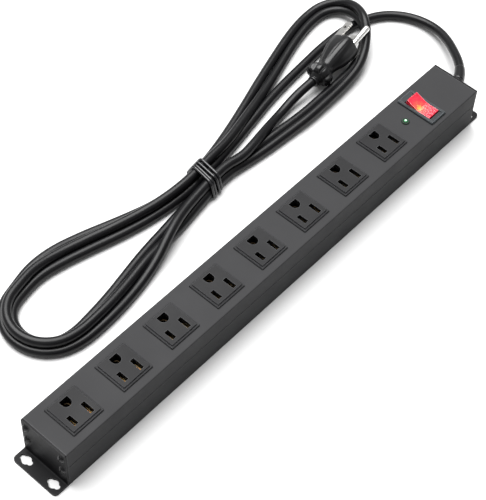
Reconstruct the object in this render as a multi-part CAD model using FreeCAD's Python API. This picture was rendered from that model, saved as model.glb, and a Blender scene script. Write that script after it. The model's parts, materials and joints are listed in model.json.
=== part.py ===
"""Eight-outlet metal power strip with an illuminated rocker switch, a surge board and a tied mains lead.

Frame: millimetres, +Z up. X runs along the strip, from the near end at -X to the cord end at +X.
The origin is on the surface that the strip stands on, under the middle of the casing.
"""
import FreeCAD
import Part
import math
import os

Vec = FreeCAD.Vector

# ---- driving dimensions -------------------------------------------------------------------------
CASE_LENGTH = 406.4          # over both end plates
CASE_WIDTH = 38.1
CASE_HEIGHT = 35.0
WALL = 1.5                   # aluminium wall, and the end plates' sheet
SEAM_Z = 20.0                # where the cover meets the base channel
CORNER_R = 0.8

OUTLET_COUNT = 8
OUTLET_PITCH = 42.1
FIRST_OUTLET_X = -177.3
BLADE_SPACING = 12.6         # between the two blade slots, along X
BLADE_Y = -5.2               # the blade slots' middle
GROUND_Y = 6.7               # the ground pin's axis

LED_X = 144.2
SWITCH_X = 162.3
CORD_D = 7.0
CORD_EXIT = Vec(CASE_LENGTH / 2, 3.0, 17.5)

# what passes through the sheet, so that its opening follows
WINDOW_PLAY = 0.2
OUTLET_BODY_X, OUTLET_BODY_Y = 20.8, 21.6
SWITCH_BODY_X, SWITCH_BODY_Y = 13.4, 25.6
LED_SLEEVE_R = 2.4
GLAND_BODY_R = 6.2
GROUND_SCREW_X, GROUND_SCREW_Y, GROUND_SCREW_R = 182.0, 9.0, 1.9

# ---- derived places -----------------------------------------------------------------------------
HALF_L = CASE_LENGTH / 2
HALF_W = CASE_WIDTH / 2
INNER_HALF_W = HALF_W - WALL
SHELL_HALF_L = HALF_L - WALL           # the extrusions run between the end plates
COVER_UNDER = CASE_HEIGHT - WALL
CORD_R = CORD_D / 2
CORD_INNER_END = CORD_EXIT - Vec(7.2, 0, 0)
WIRE_R = 1.0

FLANGE_REACH = 11.0          # mounting flange, beyond the end plate
FLANGE_CORNER_R = 3.0
SLOT_LENGTH = 10.0
SLOT_HALF_WIDTH = 1.9
SLOT_BULGE_R = 3.3
SLOT_X = HALF_L + 5.5
SLOT_Y = 12.0
PORT_Y = 15.3                # screw ports in the extrusions' corners
PORT_Z = (15.5, 28.5)
PORT_R = 2.4
SCREW_R = 1.25


# ---- small helpers ------------------------------------------------------------------------------
def box(x0, x1, y0, y1, z0, z1):
    return Part.makeBox(x1 - x0, y1 - y0, z1 - z0, Vec(x0, y0, z0))


def rod(radius, start, end):
    axis = end - start
    return Part.makeCylinder(radius, axis.Length, start, axis)


def prism(points, sweep):
    """A polygon carried along a vector."""
    return Part.Face(Part.makePolygon(points + points[:1])).extrude(sweep)


def prism_x(outline, x0, x1):
    return prism([Vec(x0, y, z) for y, z in outline], Vec(x1 - x0, 0, 0))


def prism_y(outline, y0, y1):
    return prism([Vec(x, y0, z) for x, z in outline], Vec(0, y1 - y0, 0))


def fuse(shapes):
    return shapes[0].multiFuse(shapes[1:]).removeSplitter()


def both_sides(shape):
    """The shape and its mirror image across the XZ plane."""
    return [shape, shape.mirror(Vec(0, 0, 0), Vec(0, 1, 0))]


def moved(shape, x=0.0, y=0.0, z=0.0):
    copy = shape.copy()
    copy.translate(Vec(x, y, z))
    return copy


def edges_near(shape, test):
    return [edge for edge in shape.Edges if test(edge.BoundBox)]


def save(name, shape):
    solids = shape.Solids
    assert solids and all(s.isValid() and s.Volume > 0 for s in solids), name
    Part.makeCompound(solids).exportStep("parts/" + name + ".step")
    print("%-22s solids %2d  volume %10.1f mm3" % (name, len(solids), shape.Volume))


# ---- casing -------------------------------------------------------------------------------------
def screw_ports(z):
    """Round ridges inside both side walls, bored for the end screws."""
    ridge = rod(PORT_R, Vec(-SHELL_HALF_L, PORT_Y, z), Vec(SHELL_HALF_L, PORT_Y, z))
    return both_sides(ridge)


def port_bores(z):
    return both_sides(rod(SCREW_R, Vec(-HALF_L, PORT_Y, z), Vec(HALF_L, PORT_Y, z)))


def seam_groove():
    """The small V that runs along both sides where cover and base meet."""
    depth = 0.4
    y = HALF_W
    outline = [(y - depth, SEAM_Z), (y, SEAM_Z - depth), (y + depth, SEAM_Z), (y, SEAM_Z + depth)]
    return both_sides(prism_x(outline, -HALF_L, HALF_L))


def outlet_centres():
    return [FIRST_OUTLET_X + i * OUTLET_PITCH for i in range(OUTLET_COUNT)]


def top_cover():
    shell = box(-SHELL_HALF_L, SHELL_HALF_L, -HALF_W, HALF_W, SEAM_Z, CASE_HEIGHT)
    long_edges = edges_near(shell, lambda b: b.XLength > 100 and b.ZMin > CASE_HEIGHT - 0.1)
    shell = shell.makeFillet(CORNER_R, long_edges)
    hollow = box(-HALF_L, HALF_L, -INNER_HALF_W, INNER_HALF_W, SEAM_Z - 1, COVER_UNDER)
    shell = fuse([shell.cut(hollow)] + screw_ports(PORT_Z[1]))
    cutters = port_bores(PORT_Z[1]) + seam_groove()
    half_x, half_y = OUTLET_BODY_X / 2 + WINDOW_PLAY, OUTLET_BODY_Y / 2 + WINDOW_PLAY
    for x in outlet_centres():
        cutters.append(box(x - half_x, x + half_x, -half_y, half_y, COVER_UNDER - 1, CASE_HEIGHT + 1))
    half_x, half_y = SWITCH_BODY_X / 2 + WINDOW_PLAY, SWITCH_BODY_Y / 2 + WINDOW_PLAY
    cutters.append(box(SWITCH_X - half_x, SWITCH_X + half_x, -half_y, half_y,
                       COVER_UNDER - 1, CASE_HEIGHT + 1))
    cutters.append(rod(LED_SLEEVE_R, Vec(LED_X, 0, COVER_UNDER - 1), Vec(LED_X, 0, CASE_HEIGHT + 1)))
    return shell.cut(Part.makeCompound(cutters)).removeSplitter()


def base_channel():
    shell = box(-SHELL_HALF_L, SHELL_HALF_L, -HALF_W, HALF_W, 0, SEAM_Z)
    hollow = box(-HALF_L, HALF_L, -INNER_HALF_W, INNER_HALF_W, WALL, SEAM_Z + 1)
    lap, play = 0.8, 0.05
    tongue_in, tongue_out = INNER_HALF_W - lap, INNER_HALF_W - play
    tongue = box(-SHELL_HALF_L, SHELL_HALF_L, tongue_in, tongue_out, SEAM_Z - 6, SEAM_Z + 3)
    root = box(-SHELL_HALF_L, SHELL_HALF_L, tongue_in, HALF_W - 1, SEAM_Z - 6, SEAM_Z)
    parts = [shell.cut(hollow)] + both_sides(tongue) + both_sides(root) + screw_ports(PORT_Z[0])
    cutters = port_bores(PORT_Z[0]) + seam_groove()
    cutters.append(rod(GROUND_SCREW_R, Vec(GROUND_SCREW_X, GROUND_SCREW_Y, -1),
                       Vec(GROUND_SCREW_X, GROUND_SCREW_Y, WALL + 1)))
    return fuse(parts).cut(Part.makeCompound(cutters)).removeSplitter()


# ---- end brackets and their screws --------------------------------------------------------------
def keyhole_slot(x, y):
    """A slot along Y, with a round bulge in its middle that a screw head passes through."""
    z0, z1 = -1, WALL + 1
    end = SLOT_LENGTH / 2 - SLOT_HALF_WIDTH
    slot = box(x - SLOT_HALF_WIDTH, x + SLOT_HALF_WIDTH, y - end, y + end, z0, z1)
    rounds = [(SLOT_HALF_WIDTH, y - end), (SLOT_HALF_WIDTH, y + end), (SLOT_BULGE_R, y)]
    return fuse([slot] + [rod(r, Vec(x, yy, z0), Vec(x, yy, z1)) for r, yy in rounds])


def end_bracket():
    """The +X bracket: an end plate with four screw holes, bent out into a slotted flange."""
    outer = HALF_L + FLANGE_REACH
    plate = box(SHELL_HALF_L, HALF_L, -HALF_W, HALF_W, 0, CASE_HEIGHT)
    flange = box(SHELL_HALF_L, outer, -HALF_W, HALF_W, 0, WALL)
    bracket = plate.fuse(flange).removeSplitter()
    bend = edges_near(bracket, lambda b: b.YLength > 30 and abs(b.XMin - HALF_L) < 0.01
                      and abs(b.ZMax - WALL) < 0.01 and b.XLength < 0.01)
    bracket = bracket.makeFillet(1.0, bend)
    corners = edges_near(bracket, lambda b: b.XMin > outer - 0.01 and b.ZLength > 1 and b.YLength < 0.01)
    bracket = bracket.makeFillet(FLANGE_CORNER_R, corners)
    shoulders = edges_near(bracket, lambda b: b.ZMin > CASE_HEIGHT - 0.01 and b.XLength > 1
                           and b.YLength < 0.01)
    bracket = bracket.makeFillet(CORNER_R, shoulders)
    clearance = SCREW_R + 0.35
    cutters = [keyhole_slot(SLOT_X, SLOT_Y), keyhole_slot(SLOT_X, -SLOT_Y)]
    for z in PORT_Z:
        cutters += both_sides(rod(clearance, Vec(SHELL_HALF_L - 1, PORT_Y, z), Vec(HALF_L + 1, PORT_Y, z)))
    return bracket.cut(Part.makeCompound(cutters)).removeSplitter()


def far_bracket():
    e = CORD_EXIT
    return end_bracket().cut(rod(GLAND_BODY_R, Vec(e.x - 5, e.y, e.z), Vec(e.x + 5, e.y, e.z)))


def turned_to_near(shape):
    """The same part at the other end of the strip."""
    return shape.mirror(Vec(0, 0, 0), Vec(1, 0, 0))


def pan_screw(length):
    """A pan-head screw along -X, with the underside of its head at the origin."""
    head_r, head_h = 2.7, 1.8
    dome_r = (head_r ** 2 + head_h ** 2) / (2 * head_h)
    head = Part.makeSphere(dome_r, Vec(head_h - dome_r, 0, 0))
    head = head.common(rod(head_r, Vec(0, 0, 0), Vec(head_h, 0, 0)))
    shank = rod(SCREW_R, Vec(-length, 0, 0), Vec(0, 0, 0))
    tip = Part.makeCone(SCREW_R, 0.4, 1.2, Vec(-length, 0, 0), Vec(-1, 0, 0))
    half, depth, arm = 0.3, 0.9, 1.5
    cross = [box(head_h - depth, head_h + 1, -arm, arm, -half, half),
             box(head_h - depth, head_h + 1, -half, half, -arm, arm)]
    return fuse([head, shank, tip]).cut(Part.makeCompound(cross))


def end_screws():
    screw = pan_screw(8.0)
    places = [(y, z) for z in PORT_Z for y in (-PORT_Y, PORT_Y)]
    return Part.makeCompound([moved(screw, HALF_L, y, z) for y, z in places])


# ---- outlets ------------------------------------------------------------------------------------
OUTLET_FACE_X, OUTLET_FACE_Y = 22.6, 23.4
OUTLET_SKIRT_X, OUTLET_SKIRT_Y = 25.2, 26.0
OUTLET_SKIRT_TOP = CASE_HEIGHT + 1.1
OUTLET_FACE_TOP = CASE_HEIGHT + 2.2
OUTLET_REAR = 16.5
SLOT_WIDTH = 3.2
LONG_SLOT, SHORT_SLOT = 9.2, 7.6
GROUND_HOLE_R = 3.45
GROUND_FLAT_Y = 9.6          # the flat side of the D-shaped ground hole
GROUND_HOLE_Y = 6.6
FACE_WALL = 3.0
CHAMBER_TOP = OUTLET_FACE_TOP - FACE_WALL


def centred_box(width_x, width_y, z0, z1):
    return box(-width_x / 2, width_x / 2, -width_y / 2, width_y / 2, z0, z1)


def bevelled_block(width_x, width_y, z0, z1, bevel):
    block = centred_box(width_x, width_y, z0, z1)
    uprights = edges_near(block, lambda b: b.ZLength > (z1 - z0) * 0.9)
    block = block.makeFillet(bevel * 1.5, uprights)
    rim = edges_near(block, lambda b: b.ZMin > z1 - 0.001)
    return block.makeChamfer(bevel, rim)


def ground_hole(z0, z1):
    """D-shaped: round towards the blade slots, flat on the far side."""
    r, y = GROUND_HOLE_R, GROUND_HOLE_Y
    return fuse([rod(r, Vec(0, y, z0), Vec(0, y, z1)).common(box(-r, r, 0, y, z0, z1)),
                 box(-r, r, y, GROUND_FLAT_Y, z0, z1)])


def snap_latches():
    """Wedges on both long sides that catch under the cover sheet."""
    y, top, low, out = OUTLET_BODY_Y / 2, COVER_UNDER - 0.1, COVER_UNDER - 4.0, 0.9
    wedge = prism_x([(y - 0.5, low), (y, low), (y + out, top), (y - 0.5, top)], -3.0, 3.0)
    return both_sides(wedge)


def outlet():
    body = centred_box(OUTLET_BODY_X, OUTLET_BODY_Y, OUTLET_REAR, CASE_HEIGHT + 0.5)
    skirt = bevelled_block(OUTLET_SKIRT_X, OUTLET_SKIRT_Y, CASE_HEIGHT, OUTLET_SKIRT_TOP, 0.4)
    face = bevelled_block(OUTLET_FACE_X, OUTLET_FACE_Y, CASE_HEIGHT, OUTLET_FACE_TOP, 0.35)
    block = fuse([body, skirt, face] + snap_latches())
    half_gap, half_w = BLADE_SPACING / 2, SLOT_WIDTH / 2
    rear, above = OUTLET_REAR - 1, OUTLET_FACE_TOP + 1
    cutters = [ground_hole(rear, above), box(-4.0, 4.0, 3.1, 10.1, rear, CHAMBER_TOP)]
    for x, length in ((half_gap, LONG_SLOT), (-half_gap, SHORT_SLOT)):
        y0, y1 = BLADE_Y - length / 2, BLADE_Y + length / 2
        cutters.append(box(x - half_w, x + half_w, y0, y1, CHAMBER_TOP - 1, above))
        y0, y1 = BLADE_Y - LONG_SLOT / 2, BLADE_Y + LONG_SLOT / 2
        cutters.append(box(x - 2.5, x + 2.5, y0, y1, rear, CHAMBER_TOP))
    return block.cut(Part.makeCompound(cutters)).removeSplitter()


# ---- bus bars and their tray --------------------------------------------------------------------
BUS_Z = 12.0
BUS_SHEET = 0.8
BUS_WIDTH = 3.4
BUS_NEAR_X = FIRST_OUTLET_X - 9.0
BUS_FAR_X = 130.0
LINE_BUS_Y, NEUTRAL_BUS_Y = -8.0, -2.4
CLIP_TOP = 31.0
CLIP_WEB_Z = 14.5


def blade_clip():
    """Two sprung leaves across X that grip a blade, on a web over the bus."""
    gap, leaf, flare, mouth = 0.85, 0.6, 0.6, 1.6
    z0, z1 = CLIP_WEB_Z, CLIP_TOP
    leaf_outline = [(gap, z0), (gap + leaf, z0), (gap + leaf, z1 - mouth),
                    (gap + leaf + flare, z1), (gap + flare, z1), (gap, z1 - mouth)]
    y0, y1 = BLADE_Y - 3.7, BLADE_Y + 3.7
    right = prism_y(leaf_outline, y0, y1)
    left = right.mirror(Vec(0, 0, 0), Vec(1, 0, 0))
    web = box(-gap - leaf, gap + leaf, y0, y1, z0, z0 + leaf)
    return [left, right, web]


def blade_bus(bus_y, clip_side):
    """One strip with a clip under each outlet's slot on that side."""
    half = BUS_WIDTH / 2
    parts = [box(BUS_NEAR_X, BUS_FAR_X, bus_y - half, bus_y + half, BUS_Z, BUS_Z + BUS_SHEET)]
    for x in outlet_centres():
        clip_x = x + clip_side * BLADE_SPACING / 2
        riser = box(-1.45, 1.45, bus_y - half + 0.6, bus_y + half - 0.6, BUS_Z, CLIP_WEB_Z + 0.3)
        parts += [moved(piece, clip_x) for piece in blade_clip() + [riser]]
    return fuse(parts)


def ground_bus():
    """The same strip with a split sleeve under each ground hole."""
    half = BUS_WIDTH / 2
    inner_r, outer_r, slit = 2.4, 3.0, 0.5
    y = GROUND_Y
    parts = [box(BUS_NEAR_X, BUS_FAR_X, y - half, y + half, BUS_Z, BUS_Z + BUS_SHEET)]
    sleeve = rod(outer_r, Vec(0, y, CLIP_WEB_Z), Vec(0, y, CLIP_TOP))
    bore = rod(inner_r, Vec(0, y, CLIP_WEB_Z + 0.8), Vec(0, y, CLIP_TOP + 1))
    split = box(-slit, slit, y - 5, y + 5, CLIP_WEB_Z + 4, CLIP_TOP + 1)
    sleeve = sleeve.cut(bore).cut(split)
    riser = box(-1.5, 1.5, y - 1.2, y + 1.2, BUS_Z, CLIP_WEB_Z + 0.4)
    for x in outlet_centres():
        parts += [moved(sleeve, x), moved(riser, x)]
    return fuse(parts)


def bus_tray():
    """An insulating tray: a floor, a rib under each bus, and barriers between them."""
    x0, x1 = BUS_NEAR_X - 3.0, 124.0
    floor_top = WALL + 1.3
    parts = [box(x0, x1, -13.5, 13.5, WALL, floor_top)]
    for y in (LINE_BUS_Y, NEUTRAL_BUS_Y, GROUND_Y):
        parts.append(box(x0, x1, y - 0.7, y + 0.7, floor_top, BUS_Z))
    for y, top in ((-5.2, CLIP_WEB_Z - 0.6), (2.2, OUTLET_REAR - 0.5)):
        parts.append(box(x0, x1, y - 0.4, y + 0.4, floor_top, top))
    return fuse(parts)


# ---- rocker switch ------------------------------------------------------------------------------
BEZEL_X, BEZEL_Y = 15.8, 31.4
BEZEL_TOP = CASE_HEIGHT + 1.6
SWITCH_FLOOR = 14.0
ROCKER_HALF_X, ROCKER_HALF_Y = 5.4, 10.4
ROCKER_PLAY = 0.3
PIVOT = Vec(SWITCH_X, 0, 34.0)
ROCKER_TILT = 11.0           # to each side of the middle
STUB_R = 1.5
PLUNGER_R = 1.1
PLUNGER_TIP = 9.5            # pivot to the middle of the plunger's round tip
LEVER_TILT = 8.0
LEVER_SHEET = 0.8
LEVER_Z = PIVOT.z - PLUNGER_TIP - 1.0 - 0.1 - LEVER_SHEET / 2
LEVER_HALF = 8.6


def tilted(shape, angle, centre):
    copy = shape.copy()
    copy.rotate(centre, Vec(1, 0, 0), angle)
    return copy


def rest_rocker(shape):
    """From the middle position to rest: the -Y end pressed, the +Y end up."""
    return tilted(shape, ROCKER_TILT, PIVOT)


def rocker_cavity_half_y():
    return ROCKER_HALF_Y + 1.3


def switch_frame():
    body = box(-SWITCH_BODY_X / 2, SWITCH_BODY_X / 2, -SWITCH_BODY_Y / 2, SWITCH_BODY_Y / 2,
               SWITCH_FLOOR, CASE_HEIGHT + 0.5)
    bezel = bevelled_block(BEZEL_X, BEZEL_Y, CASE_HEIGHT, BEZEL_TOP, 0.5)
    frame = fuse([body, bezel])
    hx, hy = ROCKER_HALF_X + ROCKER_PLAY, rocker_cavity_half_y()
    well = box(-hx, hx, -hy, hy, SWITCH_FLOOR + 1.2, BEZEL_TOP + 1)
    ramp_end = BEZEL_Y / 2 - 0.9
    ramp = prism_x([(hy - 0.5, CASE_HEIGHT + 0.6), (ramp_end, BEZEL_TOP - 0.25),
                    (ramp_end, BEZEL_TOP + 1), (hy - 0.5, BEZEL_TOP + 1)], -hx, hx)
    pivot_bore = rod(STUB_R + 0.05, Vec(-hx - 1.0, 0, PIVOT.z), Vec(hx + 1.0, 0, PIVOT.z))
    cutters = [well, pivot_bore] + both_sides(ramp)
    for y in TERMINAL_Y:
        cutters.append(box(-2.5, 2.5, y - 0.4, y + 0.4, SWITCH_FLOOR - 1, SWITCH_FLOOR + 2))
    return moved(frame.cut(Part.makeCompound(cutters)), SWITCH_X).removeSplitter()


def switch_rocker():
    """A shallow V on top, a hub with the plunger's bore below, and two pivot stubs."""
    p = PIVOT
    rise = ROCKER_HALF_Y * math.tan(math.radians(ROCKER_TILT))
    top, skirt, hub = 2.6, -3.0, -7.5
    y = ROCKER_HALF_Y
    outline = [(-y, skirt), (-3.2, skirt), (-2.2, hub), (2.2, hub), (3.2, skirt), (y, skirt),
               (y, top + rise), (0, top), (-y, top + rise)]
    half = ROCKER_HALF_X
    block = prism_x([(a, p.z + b) for a, b in outline], p.x - half, p.x + half)
    ends = edges_near(block, lambda b: b.XLength > 5 and b.ZMin > p.z + top + rise - 0.1)
    block = block.makeFillet(0.5, ends)
    stub_end = half + ROCKER_PLAY + 0.8
    stubs = rod(STUB_R, p - Vec(stub_end, 0, 0), p + Vec(stub_end, 0, 0))
    cutters = [rod(PLUNGER_R + 0.05, p + Vec(0, 0, hub - 1), p + Vec(0, 0, 0.5))]
    for side in (-1, 1):
        y0, y1 = sorted((side * 2.0, side * (ROCKER_HALF_Y - 1.0)))
        cutters.append(box(p.x - half + 1.0, p.x + half - 1.0, y0, y1, p.z + skirt - 1, p.z + 1.4))
    hub_sides = [box(p.x + s * 4.4 - 1.6, p.x + s * 4.4 + 1.6, -4, 4, p.z + hub - 1, p.z + skirt)
                 for s in (-1, 1)]
    rocker = fuse([block, stubs]).cut(Part.makeCompound(cutters + hub_sides))
    return rest_rocker(rocker.removeSplitter())


def switch_lamp():
    """A small glow lamp lying inside the rocker, on the side that stands up at rest."""
    start = PIVOT + Vec(0, 2.2, -0.4)
    bulb = fuse([rod(1.3, start, start + Vec(0, 5.4, 0)), Part.makeSphere(1.3, start + Vec(0, 5.4, 0))])
    return rest_rocker(bulb)


def switch_plunger():
    p = PIVOT
    tip = p - Vec(0, 0, PLUNGER_TIP)
    shank = rod(PLUNGER_R, tip + Vec(0, 0, 0.8), p - Vec(0, 0, 3.6))
    neck = rod(1.0, tip, tip + Vec(0, 0, 1.0))
    return rest_rocker(fuse([shank, neck, Part.makeSphere(1.0, tip)]))


def switch_spring():
    """A compression spring between the plunger and the top of its bore."""
    wire_r, coil_r, height, turns, steps = 0.15, 0.8, 3.7, 5, 8
    foot = PIVOT - Vec(0, 0, 3.6 - wire_r)
    points = []
    for i in range(turns * steps + 1):
        angle = 2 * math.pi * i / steps
        climb = height * i / (turns * steps)
        points.append(foot + Vec(coil_r * math.cos(angle), coil_r * math.sin(angle), climb))
    helix = Part.BSplineCurve()
    helix.interpolate(points)
    ring = Part.Wire(Part.makeCircle(wire_r, foot + Vec(coil_r, 0, 0), helix.tangent(0)[0]))
    coil = Part.Wire(helix.toShape()).makePipeShell([ring], True, True)
    return rest_rocker(coil)


def contact_lever():
    """A brass seesaw, bent to a shallow V, that the plunger tips from side to side."""
    s = LEVER_SHEET / 2
    y = LEVER_HALF
    rise = y * math.tan(math.radians(LEVER_TILT))
    z = LEVER_Z
    outline = [(-y, z + rise - s), (0, z - s), (y, z + rise - s),
               (y, z + rise + s), (0, z + s), (-y, z + rise + s)]
    lever = prism_x(outline, SWITCH_X - 2.0, SWITCH_X + 2.0)
    rivets = []
    for side in (-1, 1):
        foot = Vec(SWITCH_X, side * 7.0, z + 7.0 * math.tan(math.radians(LEVER_TILT)))
        lean = Vec(0, side * math.sin(math.radians(LEVER_TILT)), -math.cos(math.radians(LEVER_TILT)))
        rivets.append(rod(1.2, foot, foot + lean * (s + 0.6)))
    return tilted(fuse([lever] + rivets), -LEVER_TILT, Vec(SWITCH_X, 0, LEVER_Z))


TERMINAL_Y = (-10.0, 0.0, 8.6)
TERMINAL_END_Z = 8.0


def switch_terminals():
    """Three flat brass tabs: lamp return, line in under the lever's pivot, and switched line."""
    x, half, play = SWITCH_X, 0.4, 0.05
    tops = (LEVER_Z - 6.0, LEVER_Z - LEVER_SHEET / 2 - play, LEVER_Z - 1.2)
    tabs = []
    for y, top in zip(TERMINAL_Y, tops):
        tabs.append(box(x - 2.4, x + 2.4, y - half, y + half, TERMINAL_END_Z, top))
    out_top = LEVER_Z - LEVER_SHEET / 2 - 0.6 - play
    shelf = box(x - 2.4, x + 2.4, 5.4, TERMINAL_Y[2] + half, out_top - 0.8, out_top)
    tabs[2] = fuse([tabs[2].cut(box(x - 3, x + 3, 5, 10, out_top, out_top + 5)), shelf])
    return Part.makeCompound(tabs)


# ---- indicator and surge board ------------------------------------------------------------------
LED_LENS_R = 1.7
BOARD_X0, BOARD_X1 = 131.5, 153.0
BOARD_HALF_Y = 13.0
BOARD_Z, BOARD_SHEET = 6.2, 1.6
BOARD_TOP = BOARD_Z + BOARD_SHEET
STANDOFF_PLACES = [(x, y) for x in (134.5, 150.0) for y in (-10.2, 10.2)]


def led_collar():
    x = LED_X
    ring = rod(2.9, Vec(x, 0, CASE_HEIGHT), Vec(x, 0, CASE_HEIGHT + 0.8))
    ring = ring.makeChamfer(0.35, edges_near(ring, lambda b: b.ZMin > CASE_HEIGHT + 0.79))
    sleeve = rod(LED_SLEEVE_R - 0.1, Vec(x, 0, 29), Vec(x, 0, CASE_HEIGHT + 0.4))
    bore = rod(LED_LENS_R, Vec(x, 0, 28), Vec(x, 0, CASE_HEIGHT + 2))
    return fuse([ring, sleeve]).cut(bore)


def led_lens():
    foot = Vec(LED_X, 0, 29.5)
    crown = Vec(LED_X, 0, CASE_HEIGHT)
    dome = Part.makeSphere(LED_LENS_R, crown)
    return fuse([rod(LED_LENS_R, foot, crown), dome])


def led_legs():
    legs = [box(LED_X + s * 0.9 - 0.25, LED_X + s * 0.9 + 0.25, -0.25, 0.25, BOARD_TOP, 29.5)
            for s in (-1, 1)]
    return Part.makeCompound(legs)


def surge_board():
    board = box(BOARD_X0, BOARD_X1, -BOARD_HALF_Y, BOARD_HALF_Y, BOARD_Z, BOARD_TOP)
    holes = [rod(1.3, Vec(x, y, BOARD_Z - 1), Vec(x, y, BOARD_TOP + 1)) for x, y in STANDOFF_PLACES]
    return board.cut(Part.makeCompound(holes))


def varistors():
    """Three coated discs standing on the board."""
    discs = []
    for x in (137.5, 142.2, 146.9):
        disc = rod(5.4, Vec(x - 1.8, -7.0, BOARD_TOP + 6.6), Vec(x + 1.8, -7.0, BOARD_TOP + 6.6))
        disc = disc.makeFillet(0.9, disc.Edges[0:1] + disc.Edges[2:3])
        leg = box(x - 0.4, x + 0.4, -9.4, -8.6, BOARD_TOP, BOARD_TOP + 2.4)
        discs.append(fuse([disc, leg, moved(leg, 0, 4.0)]))
    return Part.makeCompound(discs)


def thermal_fuse():
    z = BOARD_TOP + 1.7
    start, end = Vec(134.2, 4.6, z), Vec(143.0, 4.6, z)
    body = rod(1.7, start, end)
    leads = rod(0.35, start - Vec(1.4, 0, 0), end + Vec(1.4, 0, 0))
    return fuse([body, leads])


def filter_capacitor():
    case = box(146.0, 152.0, 1.4, 7.6, BOARD_TOP, BOARD_TOP + 9.5)
    return case.makeFillet(0.6, edges_near(case, lambda b: b.ZMin > BOARD_TOP + 9.4))


def board_standoffs():
    posts = [rod(2.3, Vec(x, y, WALL), Vec(x, y, BOARD_Z)).cut(rod(1.2, Vec(x, y, WALL + 1), Vec(x, y, BOARD_Z)))
             for x, y in STANDOFF_PLACES]
    return Part.makeCompound(posts)


def board_screws():
    screws = []
    for x, y in STANDOFF_PLACES:
        head = rod(2.2, Vec(x, y, BOARD_TOP), Vec(x, y, BOARD_TOP + 1.3))
        shank = rod(1.2, Vec(x, y, WALL + 1.6), Vec(x, y, BOARD_TOP))
        slot = box(x - 3, x + 3, y - 0.3, y + 0.3, BOARD_TOP + 0.7, BOARD_TOP + 2)
        screws.append(fuse([head, shank]).cut(slot))
    return Part.makeCompound(screws)


# ---- tubes: wires and cord ----------------------------------------------------------------------
def rounded_path(points, share=0.45):
    """Straight runs joined by tangent arcs, each as large as its two runs allow."""
    edges, radii, last = [], [], points[0]
    for before, corner, after in zip(points, points[1:], points[2:]):
        run_in, run_out = corner - before, after - corner
        way_in, way_out = Vec(run_in).normalize(), Vec(run_out).normalize()
        half_turn = way_in.getAngle(way_out) / 2
        reach = share * min(run_in.Length, run_out.Length)
        radius = reach / math.tan(half_turn)
        start, end = corner - way_in * reach, corner + way_out * reach
        inward = (way_out - way_in).normalize()
        middle = corner + inward * (radius / math.cos(half_turn) - radius)
        edges.append(Part.LineSegment(last, start).toShape())
        edges.append(Part.Arc(start, middle, end).toShape())
        radii.append(radius)
        last = end
    edges.append(Part.LineSegment(last, points[-1]).toShape())
    return Part.Wire(edges), radii


def tube(points, radius):
    path, radii = rounded_path(points)
    ring = Part.Wire(Part.makeCircle(radius, points[0], points[1] - points[0]))
    solid = path.makePipeShell([ring], True, False)
    return solid, path, radii


def report_tube(name, solid, path, radii, radius):
    section = math.pi * radius ** 2
    print("%s: length %.1f mm, volume over section times length %.4f, bend radii %s mm"
          % (name, path.Length, solid.Volume / (section * path.Length), [round(r) for r in radii]))


BARREL_Z, BARREL_END = 2.9, 7.0
UNDER_BOARD_Z = 3.9


def wire(points):
    return tube([Vec(*p) for p in points], WIRE_R)[0]


def conductor(offset_y, offset_z, points):
    """An insulated wire that starts on the end of the cord, running straight out of it."""
    start = CORD_INNER_END + Vec(0, offset_y, offset_z)
    out = start - Vec(4, 0, 0)
    return wire([tuple(start), tuple(out)] + points)


def wire_line_in():
    """Cord to the switch's middle tab."""
    return conductor(0.0, 1.5, [(184, 3, 14), (171, 0, 10), (SWITCH_X + 2.4, 0, 10)])


def wire_line_switched():
    """Switched tab to the line bus: over the other wires, then under the board."""
    y, z = TERMINAL_Y[2], UNDER_BOARD_Z
    return wire([(SWITCH_X, y, TERMINAL_END_Z), (SWITCH_X, y, 5.4), (157.5, 5.5, 5.3), (156, -3.5, 5.3),
                 (150, -6.4, z), (134, -6.3, z), (BUS_FAR_X - 1.6, LINE_BUS_Y, z + 0.5),
                 (BUS_FAR_X - 1.6, LINE_BUS_Y, BUS_Z)])


def wire_neutral():
    """Cord to the neutral bus, along the base and under the board."""
    y = NEUTRAL_BUS_Y
    return conductor(-1.4, -0.9, [(186, -1, 13), (180, y, 5), (172, y, 2.7), (133, y, 3.4),
                                  (BUS_FAR_X - 1.3, y, 4.6), (BUS_FAR_X - 1.3, y, BUS_Z)])


def wire_ground():
    """Cord to the ring terminal on the base."""
    y, z = GROUND_SCREW_Y, BARREL_Z
    return conductor(1.4, -0.9, [(191, 8, 9), (192.5, y, z), (GROUND_SCREW_X + BARREL_END, y, z)])


def wire_ground_bus():
    """Ring terminal to the ground bus, along the base and under the board."""
    y = GROUND_Y
    x0, y0, z0 = GROUND_SCREW_X - BARREL_END, GROUND_SCREW_Y, BARREL_Z
    return wire([(x0, y0, z0), (x0 - 4, y0, z0), (165, 7.4, 2.7), (133, 6.0, 3.4),
                 (BUS_FAR_X - 1.6, y, 4.6), (BUS_FAR_X - 1.6, y, BUS_Z)])


def board_leads():
    """Two short wires from the board up to the line and neutral buses."""
    leads = []
    for y in (LINE_BUS_Y, NEUTRAL_BUS_Y):
        top = BUS_Z + BUS_SHEET
        points = [Vec(133.2, y + 1, BOARD_TOP), Vec(133.2, y + 1, top + 2.2),
                  Vec(BUS_FAR_X - 1.3, y, top + 2.2), Vec(BUS_FAR_X - 1.3, y, top)]
        leads.append(tube(points, 0.6)[0])
    return Part.makeCompound(leads)


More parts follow.
